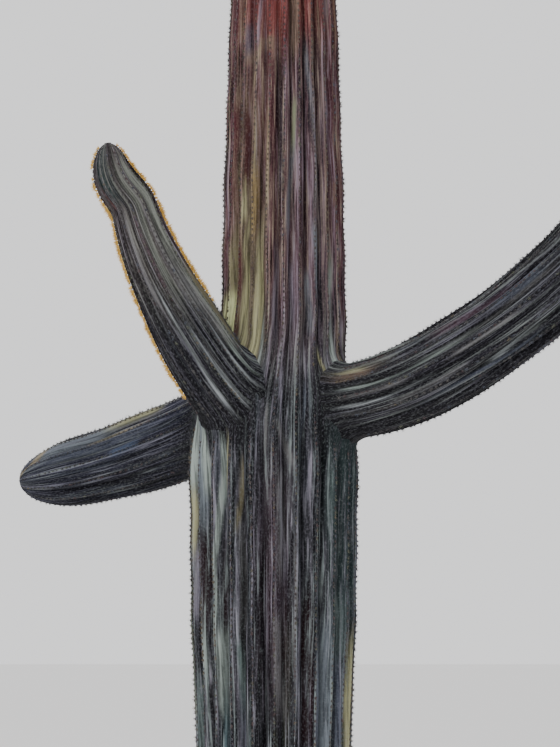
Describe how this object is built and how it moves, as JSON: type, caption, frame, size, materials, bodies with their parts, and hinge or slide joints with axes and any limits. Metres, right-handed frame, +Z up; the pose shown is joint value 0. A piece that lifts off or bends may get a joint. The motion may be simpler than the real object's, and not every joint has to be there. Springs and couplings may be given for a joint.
{
  "type": "saguaro cactus",
  "caption": "Tall pleated cactus trunk, widest under its arms, with a short raised arm, a short drooping arm and a long arm that reaches out and turns upright.",
  "frame": {"origin": "centre of the flat cut under the trunk, at ground level", "axes": "+Z up along the trunk; the plant's front faces -Y, and the long arm reaches to +X"},
  "size_m": [2.0233, 0.894, 5.2],
  "materials": {
    "trunk_skin": "waxy skin in lengthwise streaks of charcoal, plum, sage and ochre, corky at the foot",
    "arm_skin": "waxy skin in lengthwise streaks of charcoal, slate and sage",
    "spines": "dry, satin",
    "spine_pads": "short grey-brown felt"
  },
  "bodies": {
    "root": {"trunk": "trunk_skin", "left_arm": "arm_skin", "low_arm": "arm_skin", "right_arm_reach": "arm_skin", "right_arm_elbow": "arm_skin", "right_arm_upright": "arm_skin"}
  },
  "joints": []
}
